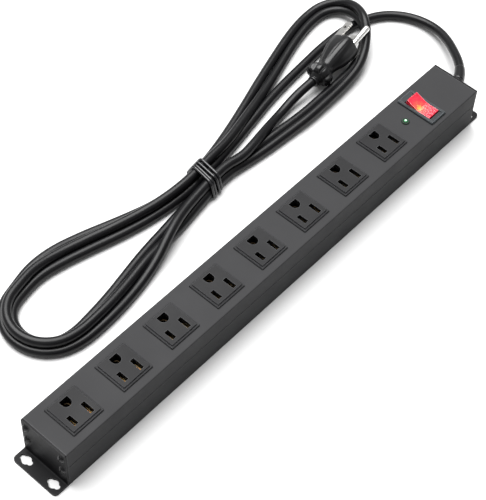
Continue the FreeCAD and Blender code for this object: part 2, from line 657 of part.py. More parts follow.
def ground_ring():
    """A ring terminal under the ground screw, with a crimp barrel on each side."""
    x, y = GROUND_SCREW_X, GROUND_SCREW_Y
    z0, z1 = WALL, WALL + 0.8
    parts = [rod(3.6, Vec(x, y, z0), Vec(x, y, z1)), box(x - 5.0, x + 5.0, y - 1.3, y + 1.3, z0, z1)]
    for side in (-1, 1):
        near, far = x + side * 4.2, x + side * BARREL_END
        parts.append(rod(1.3, Vec(near, y, BARREL_Z), Vec(far, y, BARREL_Z)))
    return fuse(parts).cut(rod(GROUND_SCREW_R, Vec(x, y, z0), Vec(x, y, z1)))


def ground_screw():
    x, y = GROUND_SCREW_X, GROUND_SCREW_Y
    z = WALL + 0.8
    head = rod(3.2, Vec(x, y, z), Vec(x, y, z + 1.9))
    shank = rod(GROUND_SCREW_R, Vec(x, y, 0.2), Vec(x, y, z))
    cross = [box(x - 1.7, x + 1.7, y - 0.35, y + 0.35, z + 1.0, z + 3),
             box(x - 0.35, x + 0.35, y - 1.7, y + 1.7, z + 1.0, z + 3)]
    return fuse([head, shank]).cut(Part.makeCompound(cross))


# ---- cord gland and boot ------------------------------------------------------------------------
GLAND_FLANGE_R = 7.6
GLAND_FLANGE = 1.8
BOOT_LENGTH = 24.0
BOOT_R0, BOOT_R1 = 5.2, 3.8


def along_x(radius, x0, x1):
    """A cylinder on the cord's exit axis, between two distances from the end plate."""
    e = CORD_EXIT
    return rod(radius, Vec(e.x + x0, e.y, e.z), Vec(e.x + x1, e.y, e.z))


def cord_gland(cord):
    """A snap-in bushing: flange outside the plate, grooved body and catches inside."""
    body = along_x(GLAND_BODY_R, -7.0, 0)
    flange = along_x(GLAND_FLANGE_R, 0, GLAND_FLANGE)
    catch = Part.makeCone(6.9, 6.2, 2.6, CORD_EXIT - Vec(WALL + 0.05, 0, 0), Vec(-1, 0, 0))
    return fuse([body, flange, catch]).cut(cord)


def cord_boot(cord, path):
    """A tapered sleeve that follows the cord's first bend, ringed by shallow grooves."""
    flange_front = HALF_L + GLAND_FLANGE
    start = flange_front - CORD_INNER_END.x - 0.6
    steps = 12
    rings, grooves = [], []
    for i in range(steps + 1):
        near = start + BOOT_LENGTH * i / steps
        centre, ahead = point_along(path, near), point_along(path, near + 0.2)
        radius = BOOT_R0 + (BOOT_R1 - BOOT_R0) * i / steps
        rings.append(Part.Wire(Part.makeCircle(radius, centre, ahead - centre)))
        if i in (1, 3, 5):
            way = (ahead - centre).normalize()
            ring = rod(radius + 1, centre - way * 0.5, centre + way * 0.5)
            grooves.append(ring.cut(rod(radius - 0.4, centre - way, centre + way)))
    sleeve = Part.makeLoft(rings, True)
    behind = box(CORD_INNER_END.x, flange_front, -10, 15, 5, 30)
    return sleeve.cut(Part.makeCompound(grooves + [behind])).cut(cord)


def point_along(path, distance):
    for edge in path.OrderedEdges:
        if distance <= edge.Length:
            return edge.valueAt(edge.getParameterByLength(distance))
        distance -= edge.Length
    return path.OrderedVertexes[-1].Point


# ---- mains lead: lead, hank, tail, tie ----------------------------------------------------------
LEAD_ROUTE = [(196, 3, 17.5), (209, 3, 17.5), (221.4, 7.1, 17.1), (232.2, 15.1, 16), (241.6, 26.4, 13.7),
              (250.8, 39.1, 10.6), (257.6, 52.8, 7.4), (259.5, 66.9, 5.1), (256.5, 80.2, 4.0),
              (249.2, 91.8, 3.6), (238.5, 100.2, 3.6), (225.5, 104.6, 3.6), (212.5, 107.2, 3.6)]
TAIL_ROUTE = [(45, 81.6, 9.9), (56, 82.3, 9.3), (73, 83.8, 6.4), (91, 86, 4.1), (109, 87.6, 4.0),
              (126, 88.2, 6.6), (140, 87.2, 9.4), (152, 86.2, 10.6)]

HANK_HEIGHT = 7.5
HANK_OUTLINE = [(26, 97), (-34, 103.5), (-80, 117), (-101, 119.5), (-123, 116), (-143, 106), (-155, 91),
                (-158.5, 78), (-154, 62), (-142, 51), (-126, 45.5), (-108, 44), (-69, 50.5), (-15, 62),
                (26, 67.5), (62, 69.5), (100, 66.5), (139, 66), (174, 68.5), (190.5, 73), (203, 79),
                (215.5, 90), (226, 106), (231, 118.5), (231, 129.5), (223, 138.5), (206, 142.5),
                (180, 139), (150, 131.5), (100, 115.5), (63, 103.3)]
LEFT_LOOP = [(-20, 78.5), (-49, 88), (-78, 98), (-101, 103.5), (-124, 103.5), (-140, 95), (-147, 82),
             (-143, 70), (-132, 63.5), (-113, 62), (-72, 65), (-45, 70.5)]
RIGHT_LOOP = [(49, 82.5), (79, 91.5), (104, 96), (134, 101.5), (160, 104.3), (192, 104.8), (206, 103),
              (212, 99.5), (208.5, 91), (197, 81.5), (181, 76), (161, 74), (117, 75.5), (85, 77.5)]
UPPER_GAP = [(117, 106), (137, 109.3), (162, 111.8), (187, 112.6), (205, 111.8), (215, 111.5),
             (218.8, 116.5), (217, 122.5), (211, 127), (200, 128), (188, 126.9), (160, 119.8), (138, 112.5)]

TIE_CENTRE = Vec(26, 81.6, 0)
TIE_HEADING = 7.0            # degrees from +X, the way the strands run there
TIE_SHEET = 1.2
TIE_WIDTH = 13.0
BUNDLE_LENGTH = 40.0
BUNDLE_WIDTH = 28.0
BUNDLE_HEIGHT = 13.1
BUNDLE_CORNER_R = 4.5


def smooth_plate(points, height):
    """A plate whose outline is one smooth closed curve through the points."""
    curve = Part.BSplineCurve()
    curve.interpolate(Points=[Vec(x, y, 0) for x, y in points], PeriodicFlag=True)
    return Part.Face(Part.Wire(curve.toShape())).extrude(Vec(0, 0, height))


def bundle_block(length, grow):
    """The strands' squared bundle under the tie, or a larger block round it."""
    half = BUNDLE_WIDTH / 2 + grow
    z0, z1 = TIE_SHEET - grow, TIE_SHEET + BUNDLE_HEIGHT + grow
    block = box(-length / 2, length / 2, -half, half, z0, z1)
    long_edges = edges_near(block, lambda b: b.XLength > length * 0.9)
    block = block.makeFillet(BUNDLE_CORNER_R + grow, long_edges)
    block.rotate(Vec(0, 0, 0), Vec(0, 0, 1), TIE_HEADING)
    return moved(block, TIE_CENTRE.x, TIE_CENTRE.y)


def cord_hank():
    """Both loops' outer shape, open in the middle of each loop, gathered under the tie."""
    plate = smooth_plate(HANK_OUTLINE, HANK_HEIGHT)
    for opening in (LEFT_LOOP, RIGHT_LOOP, UPPER_GAP):
        plate = plate.cut(smooth_plate(opening, HANK_HEIGHT))
    clear = box(-BUNDLE_LENGTH / 2 + 1, BUNDLE_LENGTH / 2 - 1, -20, 20, -1, HANK_HEIGHT + 1)
    clear.rotate(Vec(0, 0, 0), Vec(0, 0, 1), TIE_HEADING)
    plate = plate.cut(moved(clear, TIE_CENTRE.x, TIE_CENTRE.y))
    return fuse([plate, bundle_block(BUNDLE_LENGTH, 0)])


def cord_tie():
    return bundle_block(TIE_WIDTH, TIE_SHEET).cut(bundle_block(BUNDLE_LENGTH, 0))


# ---- plug ---------------------------------------------------------------------------------------
PLUG_REAR = Vec(152, 86.2, 10.6)
PLUG_HEADING = 5.5           # degrees from +X
PLUG_PITCH = 7.5             # nose up, leaning on the cord
PLUG_ROLL = -28.0
PLUG_LENGTH = 39.0
PIN_SPACING = 12.7
PIN_GROUND = 11.9
PIN_CENTRE = -5.55           # the blades' middle, from the body's axis, away from the ground pin


def place_on_plug(shape):
    """From the plug's own frame (nose along +X, blades one above the other, ground pin at -Y)."""
    copy = shape.copy()
    copy.rotate(Vec(0, 0, 0), Vec(1, 0, 0), PLUG_ROLL)
    copy.rotate(Vec(0, 0, 0), Vec(0, 1, 0), -PLUG_PITCH)
    copy.rotate(Vec(0, 0, 0), Vec(0, 0, 1), PLUG_HEADING)
    copy.translate(PLUG_REAR)
    return copy


def rounded_section(x, width, height, radius):
    """A rounded rectangle across the plug's axis."""
    block = box(0, 1, -width / 2, width / 2, -height / 2, height / 2)
    block = block.makeFillet(radius, edges_near(block, lambda b: b.XLength > 0.9))
    face = [f for f in block.Faces if f.BoundBox.XMax < 0.001][0]
    wire = face.OuterWire.copy()
    wire.translate(Vec(x, 0, 0))
    return wire


def plug_body():
    """Nose, waist and a notched finger flange at the rear, moulded in one."""
    nose = [(10.0, 13.2, 13.0, 6.0), (14.0, 13.8, 13.4, 6.2), (20.0, 17.0, 16.4, 7.0),
            (29.0, 20.2, 19.4, 7.0), (PLUG_LENGTH, 19.4, 18.6, 6.0)]
    flange = [(0.0, 12.5, 12.5, 5.6), (2.5, 18.4, 18.0, 7.4), (6.0, 19.8, 19.4, 7.6),
              (9.0, 18.6, 18.2, 7.4), (11.5, 13.4, 13.2, 6.0)]
    parts = [Part.makeLoft([rounded_section(*s) for s in row], True) for row in (nose, flange)]
    body = fuse(parts)
    notches = []
    for i in range(8):
        notch = box(-1, 4.6, -0.7, 0.7, 8.0, 12.0)
        notch.rotate(Vec(0, 0, 0), Vec(1, 0, 0), 22.5 + 45 * i)
        notches.append(notch)
    body = body.cut(Part.makeCompound(notches))
    pins = [blade(1, 6.35), blade(-1, 7.9), ground_pin()]
    return body.cut(Part.makeCompound(pins))


BLADE_LENGTH, BLADE_SHEET, PIN_ROOT = 16.0, 1.5, 9.0
GROUND_PIN_LENGTH, GROUND_PIN_R = 20.5, 2.38


def blade(side, width):
    """A flat blade with a bevelled tip and a round hole; side is +1 above, -1 below."""
    z = side * PIN_SPACING / 2
    y = -PIN_CENTRE
    tip, bevel, half = PLUG_LENGTH + BLADE_LENGTH, 1.0, width / 2
    strip = box(PLUG_LENGTH - PIN_ROOT, tip, y - half, y + half, z - BLADE_SHEET / 2, z + BLADE_SHEET / 2)
    strip = strip.makeChamfer(bevel, edges_near(strip, lambda b: b.XMin > tip - 0.01 and b.ZLength > 1))
    hole = rod(1.55, Vec(tip - 5.5, y, z - 2), Vec(tip - 5.5, y, z + 2))
    return strip.cut(hole)


def ground_pin():
    y = -PIN_CENTRE - PIN_GROUND
    root, tip = PLUG_LENGTH - PIN_ROOT, PLUG_LENGTH + GROUND_PIN_LENGTH
    shank = rod(GROUND_PIN_R, Vec(root, y, 0), Vec(tip - GROUND_PIN_R, y, 0))
    return fuse([shank, Part.makeSphere(GROUND_PIN_R, Vec(tip - GROUND_PIN_R, y, 0))])


# ---- the assembly -------------------------------------------------------------------------------
def save_casing():
    save("top_cover", top_cover())
    save("base_channel", base_channel())
    save("end_bracket_near", turned_to_near(end_bracket()))
    save("end_bracket_far", far_bracket())
    save("end_screws_near", turned_to_near(end_screws()))
    save("end_screws_far", end_screws())


def save_outlets():
    module = outlet()
    for number, x in enumerate(outlet_centres(), start=1):
        save("outlet_%d" % number, moved(module, x))
    save("line_bus", blade_bus(LINE_BUS_Y, -1))
    save("neutral_bus", blade_bus(NEUTRAL_BUS_Y, 1))
    save("ground_bus", ground_bus())
    save("bus_tray", bus_tray())


def save_switch():
    for make in (switch_frame, switch_rocker, switch_lamp, switch_plunger, switch_spring,
                 contact_lever, switch_terminals):
        save(make.__name__, make())


def save_electronics():
    for make in (led_collar, led_lens, led_legs, surge_board, varistors, thermal_fuse, filter_capacitor,
                 board_standoffs, board_screws, board_leads, wire_line_in, wire_line_switched,
                 wire_neutral, wire_ground, wire_ground_bus, ground_ring, ground_screw):
        save(make.__name__, make())


def save_cord():
    hank = cord_hank()
    lead, lead_path, lead_radii = tube([Vec(*p) for p in LEAD_ROUTE], CORD_R)
    report_tube("cord_lead", lead, lead_path, lead_radii, CORD_R)
    tail, tail_path, tail_radii = tube([Vec(*p) for p in TAIL_ROUTE], CORD_R)
    report_tube("cord_tail", tail, tail_path, tail_radii, CORD_R)
    body = place_on_plug(plug_body())
    save("cord_hank", hank)
    save("cord_lead", lead.cut(hank))
    save("cord_tail", tail.cut(hank).cut(body))
    save("cord_tie", cord_tie())
    save("cord_gland", cord_gland(lead))
    save("cord_boot", cord_boot(lead, lead_path))
    save("plug_body", body)
    save("plug_blade_line", place_on_plug(blade(1, 6.35)))
    save("plug_blade_neutral", place_on_plug(blade(-1, 7.9)))
    save("plug_ground_pin", place_on_plug(ground_pin()))


os.makedirs("parts", exist_ok=True)
save_casing()
save_outlets()
save_switch()
save_electronics()
save_cord()
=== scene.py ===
"""A black metal power strip: eight outlets, a lit rocker switch, an indicator and a tied lead."""
import json
import math

import bmesh
import bpy
from mathutils import Matrix, Quaternion, Vector


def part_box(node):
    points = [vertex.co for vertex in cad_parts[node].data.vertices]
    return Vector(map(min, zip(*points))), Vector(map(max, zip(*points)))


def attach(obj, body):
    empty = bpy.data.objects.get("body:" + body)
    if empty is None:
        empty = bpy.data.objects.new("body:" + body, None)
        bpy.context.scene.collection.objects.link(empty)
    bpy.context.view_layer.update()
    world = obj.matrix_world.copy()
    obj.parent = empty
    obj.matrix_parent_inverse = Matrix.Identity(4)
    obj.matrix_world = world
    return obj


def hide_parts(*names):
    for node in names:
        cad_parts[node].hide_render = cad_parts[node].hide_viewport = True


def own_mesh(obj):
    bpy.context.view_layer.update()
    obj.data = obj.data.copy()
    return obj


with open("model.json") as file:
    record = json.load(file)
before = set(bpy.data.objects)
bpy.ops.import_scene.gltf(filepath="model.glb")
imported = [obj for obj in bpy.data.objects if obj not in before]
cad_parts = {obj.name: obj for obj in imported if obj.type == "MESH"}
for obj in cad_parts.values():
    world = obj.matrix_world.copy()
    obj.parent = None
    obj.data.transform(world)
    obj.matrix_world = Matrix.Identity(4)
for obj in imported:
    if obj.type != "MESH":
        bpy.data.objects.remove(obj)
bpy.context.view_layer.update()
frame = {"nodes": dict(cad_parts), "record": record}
NODES = frame["nodes"]
JOINTS = {joint["name"]: joint for joint in frame["record"]["behaviour"]["joints"]}
MM = 0.001


def link(name, data):
    piece = bpy.data.objects.new(name, data)
    bpy.context.scene.collection.objects.link(piece)
    return piece


def evaluated_mesh(piece):
    """A new mesh of what a curve or mesh piece looks like once it is worked out."""
    bpy.context.view_layer.update()
    depsgraph = bpy.context.evaluated_depsgraph_get()
    return bpy.data.meshes.new_from_object(piece.evaluated_get(depsgraph))


# ---- camera -------------------------------------------------------------------------------------
IMAGE_WIDTH = 486
SENSOR_WIDTH = 36.0
FOCAL_LENGTH = 1474.33 * SENSOR_WIDTH / IMAGE_WIDTH
CAMERA_PLACE = Vector((-0.46497, -0.36170, 0.80116))
CAMERA_AXIS = Vector((0.4653, 0.3840, -0.7975))
CAMERA_ROLL = math.radians(3.15)


def add_camera():
    data = bpy.data.cameras.new("camera")
    data.sensor_fit = "HORIZONTAL"
    data.sensor_width = SENSOR_WIDTH
    data.lens = FOCAL_LENGTH
    camera = link("camera", data)
    camera.rotation_mode = "QUATERNION"
    level = CAMERA_AXIS.to_track_quat("-Z", "Y")
    camera.rotation_quaternion = level @ Quaternion((0, 0, 1), CAMERA_ROLL)
    camera.location = CAMERA_PLACE
    bpy.context.scene.camera = camera


add_camera()


# ---- mains lead ---------------------------------------------------------------------------------
# All route points are in millimetres, control points of one smooth spline.
CORD_D = 7.0
LOW = 3.6                     # middle of a strand that lies on the surface
LEAD_ROUTE = [(196, 3, 17.5), (209, 3, 17.5), (221.4, 7.1, 17.1), (232.2, 15.1, 16),
              (241.6, 26.4, 13.7), (250.8, 39.1, 10.6), (257.6, 52.8, 7.4), (259.5, 66.9, 5.1),
              (256.5, 80.2, 4.0), (249.2, 91.8, LOW), (238.5, 100.2, LOW), (225.5, 104.6, LOW),
              (212.5, 107.2, LOW)]
TO_TIE = [(198, 108, LOW), (180, 107.6, LOW), (160, 105.8, LOW), (138, 103.8, LOW),
          (115, 100.8, LOW), (92, 96.2, LOW), (66, 91, LOW)]
TAIL_ROUTE = [(57, 74.6, 10.8), (71, 76.4, 10.7), (84, 79.4, 9.2), (97, 83, 5.6), (111, 85.6, 4.0),
              (126, 87, 6.6), (140, 86.8, 9.4), (152, 86.2, 10.6)]
OVER_THE_LOOP = [(-47, 57.4, 6.4), (-33, 62, 11.2), (-19, 67, 12.4), (-4, 71.2, 11.6)]
TIE_CENTRE, TIE_HEADING = (27, 82.5), math.radians(7)
TIE_REACH = 14                # from the tie's middle to where the strands start to fan out
TIE_LOW, TIE_HIGH = 4.8, 11.2
# Where the six strands pass the tie: offset across it, and height.
STRANDS = [(2.8, TIE_LOW), (-3.2, TIE_LOW), (6, TIE_HIGH), (-9, TIE_LOW), (9, TIE_LOW),
           (-6.6, TIE_HIGH)]
# Where the first two left turns come back towards the tie.
BACK_TO_TIE = [(-20, 73, LOW), (-20, 66, LOW)]

# Left loop: x, y of the three turns' middle line, and how far apart the turns are there.
LEFT_LOOP = [(-14, 89, 3.8), (-41.5, 95.4, 5.4), (-67, 103.4, 6.2), (-90, 109.4, 6.3),
             (-109, 111, 5), (-125, 107.8, 3.8), (-139.2, 104.2, 3.6), (-149.5, 94.2, 3.6),
             (-153.4, 80, 3.6), (-149.5, 65.8, 3.6), (-139.2, 55.6, 3.8), (-125, 52, 4.4),
             (-108, 52.8, 5.2), (-88, 55, 5.8), (-68, 58.8, 6.2), (-47, 63.2, 6.2)]
# Right loop: x, y, z of the inner turn, then the outer turn's distance from it and its z.
RIGHT_LOOP = [(62, 78, 3.6, 5.6, 3.7), (80, 76.2, 3.6, 5.8, 3.8), (100, 75.2, 3.6, 6, 4.2),
              (122, 73.8, 3.6, 6.2, 5.2), (144, 74.6, 3.6, 6.3, 5.8), (165, 75.4, 3.6, 6.1, 6.4),
              (183, 76.8, 3.7, 5.2, 8.2), (196.5, 80.6, 5.0, 3.2, 10.4),
              (208.5, 86.4, 8.4, 1.2, 14.2), (217.3, 93.8, 11, 0.2, 17.9),
              (223.2, 104, 10.4, 1, 17), (225.8, 115, 7.4, 3.2, 13), (223.6, 124.8, 4.8, 5.2, 8.6),
              (215, 130.8, 3.8, 6.6, 5), (203, 131.6, LOW, 6.8, LOW), (188, 129.6, LOW, 6.9, LOW),
              (170, 125, LOW, 7, LOW), (150, 118.6, LOW, 7.4, LOW), (128, 111.2, 4.4, 8, LOW),
              (104, 104, 6.6, 7.2, LOW), (80, 97.4, 8.6, 6.2, LOW), (60, 92, 10, 6, 4)]


def across(line, i):
    """The unit vector to the right of travel at station i, which is outward of both loops."""
    x0, y0 = line[max(i - 1, 0)][:2]
    x1, y1 = line[min(i + 1, len(line) - 1)][:2]
    length = math.hypot(x1 - x0, y1 - y0)
    return (y1 - y0) / length, (x0 - x1) / length


def left_turn(rank):
    """rank -1 is the inner turn, 1 the outer, and 0 the middle one, in the groove between them."""
    for i, (x, y, gap) in enumerate(LEFT_LOOP):
        nx, ny = across(LEFT_LOOP, i)
        raised = math.sqrt(max(0.0, CORD_D ** 2 - gap ** 2)) if rank == 0 else 0.0
        yield x + nx * gap * rank, y + ny * gap * rank, LOW + raised


def right_turn(outer):
    for i, (x, y, z, gap, outer_z) in enumerate(RIGHT_LOOP):
        nx, ny = across(RIGHT_LOOP, i)
        yield (x + nx * gap, y + ny * gap, outer_z) if outer else (x, y, z)


def through_tie(offset, z, direction):
    """Two points, one each side of the tie, for a strand that runs in direction +1 or -1."""
    c, s = math.cos(TIE_HEADING), math.sin(TIE_HEADING)
    for along in (-TIE_REACH * direction, TIE_REACH * direction):
        yield TIE_CENTRE[0] + along * c - offset * s, TIE_CENTRE[1] + along * s + offset * c, z


def cord_points():
    """Lead, then left and right turns in a row, each time through the tie, and out to the plug."""
    ways = [list(through_tie(offset, z, -1 if i % 2 == 0 else 1))
            for i, (offset, z) in enumerate(STRANDS)]
    points = LEAD_ROUTE + TO_TIE + ways[0]
    points += list(left_turn(-1)) + BACK_TO_TIE[:1] + ways[1] + list(right_turn(False)) + ways[2]
    points += list(left_turn(0)) + BACK_TO_TIE[1:] + ways[3] + list(right_turn(True)) + ways[4]
    points += list(left_turn(1))[:-1] + OVER_THE_LOOP + ways[5]
    return points + TAIL_ROUTE


def smooth_line(name, points, radius, steps=8):
    """A round tube along one NURBS spline with points, in millimetres, as its control points."""
    curve = bpy.data.curves.new(name, "CURVE")
    curve.dimensions = "3D"
    spline = curve.splines.new("NURBS")
    spline.points.add(len(points) - 1)
    for control, (x, y, z) in zip(spline.points, points):
        control.co = (x * MM, y * MM, z * MM, 1.0)
    spline.order_u = 3
    spline.use_endpoint_u = True
    spline.resolution_u = steps
    curve.bevel_depth = radius * MM
    curve.bevel_resolution = 7
    curve.use_fill_caps = True
    return link(name, curve)


cord = smooth_line("cord", cord_points(), CORD_D / 2)


# ---- tie ----------------------------------------------------------------------------------------
TIE_WIRE_R = 1.05
TIE_TURNS, TIE_PITCH = 4, 2.9
TIE_SKEW = math.radians(-8)   # the windings' own heading: they lie a little askew on the strands
TIE_START = -0.9              # the angle where the wire starts
TIE_STAND_OFF = 0.8           # how far the wire's middle is off the strands, by its radius
TIE_WOBBLES = ((0.35, 1.3, 0.0), (0.25, 0.37, 1.0))    # size, rate and start of each
POINTS_PER_TURN = 24


def band_point(angle):
    """A point of the taut band round all the strands' sections, in the tie's own plane."""
    ux, uz = math.cos(angle), math.sin(angle)
    y, z = max(STRANDS, key=lambda s: s[0] * ux + s[1] * uz)
    reach = CORD_D / 2 + TIE_WIRE_R * TIE_STAND_OFF
    return y + reach * ux, z + reach * uz


def tie_points():
    c, s = math.cos(TIE_HEADING), math.sin(TIE_HEADING)
    count = TIE_TURNS * POINTS_PER_TURN
    for i in range(count + 1):
        angle = 2 * math.pi * i / POINTS_PER_TURN + TIE_START
        offset, z = band_point(angle)
        wobble = sum(size * math.sin(rate * angle + start) for size, rate, start in TIE_WOBBLES)
        along = TIE_PITCH * (i / POINTS_PER_TURN - TIE_TURNS / 2) + wobble
        sideways = offset / math.cos(TIE_SKEW - TIE_HEADING)
        x = TIE_CENTRE[0] + along * c - sideways * math.sin(TIE_SKEW)
        y = TIE_CENTRE[1] + along * s + sideways * math.cos(TIE_SKEW)
        yield x, y, max(z, TIE_WIRE_R)


tie = smooth_line("tie_windings", list(tie_points()), TIE_WIRE_R, steps=4)


# ---- plug ---------------------------------------------------------------------------------------
PLUG_REAR = Vector((152, 86.2, 10.6))
PLUG_TURN = (math.radians(5.5), math.radians(7.5), math.radians(-28.0))     # heading, pitch, roll
PLUG_LENGTH = 39.0
PLUG_SIDES = 96
FINGER_LOBES = 8
GRIP_START, GRIP_END, GRIP_GROOVES, GRIP_DEPTH = 14, 37, 10, 0.028


def plug_matrix():
    heading, pitch, roll = PLUG_TURN
    turn = (Matrix.Rotation(heading, 4, "Z") @ Matrix.Rotation(-pitch, 4, "Y")
            @ Matrix.Rotation(roll, 4, "X"))
    return Matrix.Scale(MM, 4) @ Matrix.Translation(PLUG_REAR) @ turn


# Distance from the rear, half width, half height, squareness (2 is an ellipse), and how deep the
# notches between the flange's lobes are.
PLUG_SECTIONS = [(-5.0, 4.0, 4.0, 2, 0), (-4.8, 4.5, 4.5, 2, 0), (-3.2, 4.7, 4.7, 2, 0),
                 (-3.0, 4.2, 4.2, 2, 0), (-2.2, 4.2, 4.2, 2, 0), (-2.0, 4.9, 4.9, 2, 0),
                 (-0.4, 5.3, 5.3, 2, 0), (0.0, 6.6, 6.5, 2.2, 0), (0.5, 8.6, 8.4, 2.3, 1.6),
                 (1.4, 9.4, 9.2, 2.4, 2.2), (3.2, 9.8, 9.6, 2.4, 2.5), (5.2, 9.9, 9.7, 2.4, 2.4),
                 (7.0, 9.4, 9.2, 2.4, 1.8), (8.0, 8.5, 8.3, 2.3, 0.8), (9.0, 7.3, 7.2, 2.2, 0),
                 (10.6, 6.7, 6.6, 2.2, 0), (12.6, 6.8, 6.7, 2.2, 0), (15.6, 7.4, 7.1, 2.4, 0),
                 (20.0, 8.6, 8.2, 2.7, 0), (24.5, 9.5, 9.1, 3.0, 0), (29.0, 10.0, 9.6, 3.3, 0),
                 (33.4, 9.9, 9.5, 3.5, 0), (37.4, 9.7, 9.3, 3.6, 0), (38.5, 9.4, 9.0, 3.6, 0),
                 (PLUG_LENGTH, 8.8, 8.4, 3.6, 0)]


def plug_ring(x, half_y, half_z, power, notch):
    """One section across the plug. Shallow grip grooves run along the nose."""
    for i in range(PLUG_SIDES):
        angle = 2 * math.pi * i / PLUG_SIDES
        c, s = math.cos(angle), math.sin(angle)
        y = math.copysign(abs(c) ** (2 / power), c) * half_y
        z = math.copysign(abs(s) ** (2 / power), s) * half_z
        size = 1 - notch / half_y * max(0.0, math.cos(FINGER_LOBES * angle)) ** 2
        if GRIP_START < x < GRIP_END:
            fade = math.sin(math.pi * (x - GRIP_START) / (GRIP_END - GRIP_START))
            size -= GRIP_DEPTH * fade * max(0.0, math.cos(GRIP_GROOVES * angle)) ** 4
        yield Vector((x, y * size, z * size))


def lofted_mesh(name, rings, matrix):
    """A closed smooth skin over rings of equally many points, capped at both ends."""
    build = bmesh.new()
    loops = [[build.verts.new(matrix @ p) for p in ring] for ring in rings]
    for a, b in zip(loops, loops[1:]):
        for i in range(len(a)):
            j = (i + 1) % len(a)
            build.faces.new((a[i], a[j], b[j], b[i]))
    build.faces.new(list(reversed(loops[0])))
    build.faces.new(loops[-1])
    bmesh.ops.recalc_face_normals(build, faces=build.faces)
    for face in build.faces:
        face.smooth = len(face.verts) == 4
    mesh = bpy.data.meshes.new(name)
    build.to_mesh(mesh)
    build.free()
    return link(name, mesh)


def line_of(curve_object):
    """The points of a cord's own smooth line, in metres, without its thickness."""
    data = curve_object.data.copy()
    data.bevel_depth = 0.0
    bare = link("bare_line", data)
    mesh = evaluated_mesh(bare)
    points = [v.co.copy() for v in mesh.vertices]
    bpy.data.objects.remove(bare)
    bpy.data.meshes.remove(mesh)
    bpy.data.curves.remove(data)
    return points


def spaced(points, start, end, step):
    """Points at even distances along a line, from start to end, and the line's direction there."""
    travelled, wanted = 0.0, start
    for a, b in zip(points, points[1:]):
        run = (b - a).length
        while run and wanted <= end and travelled + run >= wanted:
            yield a.lerp(b, (wanted - travelled) / run), (b - a).normalized()
            wanted += step
        travelled += run


# ---- strain relief ------------------------------------------------------------------------------
BOOT_START, BOOT_LENGTH, BOOT_STEP = 0.0090, 0.0260, 0.0002    # along the cord, in metres
BOOT_SIDES = 48
BOOT_RADIUS, BOOT_TAPER, BOOT_TAPER_POWER = 5.3, 1.45, 0.8
BOOT_RIBS = (0.10, 0.22, 0.34, 0.46)      # the grooves' places, as shares of the length
RIB_DEPTH, RIB_WIDTH = 0.38, 0.016
LIP_START, LIP_DROP = 0.96, 0.30


def boot_radius(t):
    """The sleeve's radius at share t of its length."""
    radius = BOOT_RADIUS - BOOT_TAPER * t ** BOOT_TAPER_POWER
    radius -= sum(RIB_DEPTH * math.exp(-((t - rib) / RIB_WIDTH) ** 2) for rib in BOOT_RIBS)
    return radius - LIP_DROP * max(0.0, (t - LIP_START) / (1 - LIP_START)) ** 2


def boot_rings():
    """A sleeve that tapers onto the cord, with grooves near the housing and a soft lip."""
    stations = spaced(line_of(cord), BOOT_START, BOOT_START + BOOT_LENGTH, BOOT_STEP)
    for i, (centre, ahead) in enumerate(stations):
        radius = boot_radius(i / (BOOT_LENGTH / BOOT_STEP))
        side = ahead.cross(Vector((0, 0, 1))).normalized()
        top = side.cross(ahead)
        yield [centre + (side * math.cos(a) + top * math.sin(a)) * radius * MM
               for a in (2 * math.pi * j / BOOT_SIDES for j in range(BOOT_SIDES))]


boot = lofted_mesh("strain_relief", list(boot_rings()), Matrix.Identity(4))
plug = lofted_mesh("plug_moulding", [list(plug_ring(*s)) for s in PLUG_SECTIONS], plug_matrix())


# ---- plunger spring -----------------------------------------------------------------------------
PIVOT = Vector(JOINTS["rocker_tilt"]["pos_m"])
BORE = Vector(JOINTS["plunger_slide"]["axis"]).normalized()
SPRING_WIRE_R, SPRING_COIL_R = 0.15, 0.8
SPRING_FOOT, SPRING_HEAD = -3.44, 0.24     # the wire's middle, from the pivot along the bore
SPRING_OPEN_TURNS, CLOSED_RISE = 4, 0.31   # one closed turn more at each end


def spring_points(steps=16):
    side = Vector((1, 0, 0))
    front = BORE.cross(side)
    open_rise = (SPRING_HEAD - SPRING_FOOT - 2 * CLOSED_RISE) / SPRING_OPEN_TURNS
    height = SPRING_FOOT
    for i in range((SPRING_OPEN_TURNS + 2) * steps + 1):
        angle = 2 * math.pi * i / steps
        outward = side * math.cos(angle) + front * math.sin(angle)
        yield PIVOT / MM + BORE * height + outward * SPRING_COIL_R
        closed = i < steps or i >= (SPRING_OPEN_TURNS + 1) * steps
        height += (CLOSED_RISE if closed else open_rise) / steps


def as_mesh(curve_object):
    """The curve's skin as a mesh piece of the same name."""
    mesh, name = evaluated_mesh(curve_object), curve_object.name
    bpy.data.objects.remove(curve_object)
    return link(name, mesh)


spring = as_mesh(smooth_line("plunger_spring", list(spring_points()), SPRING_WIRE_R, steps=2))


# ---- materials ----------------------------------------------------------------------------------
def new_material(name):
    material = bpy.data.materials.new(name)
    material.use_nodes = True
    tree = material.node_tree
    return material, tree, tree.nodes["Principled BSDF"]


NOISE_LOW, NOISE_HIGH = 0.3, 0.7           # the useful middle of a noise value
NORMALS_FLAT, NORMALS_EDGE = 0.98, 0.80    # rounded normal against true one, dot product
WALL_NONE, WALL_FULL = 0.6, 0.2            # how far up a normal points, for the painted shade on upright faces
GLOSS_SPREAD = 0.05
EDGE_HIGHLIGHT_REACH, RIM_HIGHLIGHT_REACH = 0.0005, 0.0004    # how far in from sharp edges the painted highlight goes


def noise(tree, scale, detail, stretch=(1, 1, 1)):
    coords = tree.nodes.new("ShaderNodeTexCoord")
    mapping = tree.nodes.new("ShaderNodeMapping")
    mapping.inputs["Scale"].default_value = stretch
    texture = tree.nodes.new("ShaderNodeTexNoise")
    texture.inputs["Scale"].default_value = scale
    texture.inputs["Detail"].default_value = detail
    tree.links.new(coords.outputs["Object"], mapping.inputs["Vector"])
    tree.links.new(mapping.outputs["Vector"], texture.inputs["Vector"])
    return texture.outputs["Fac"]


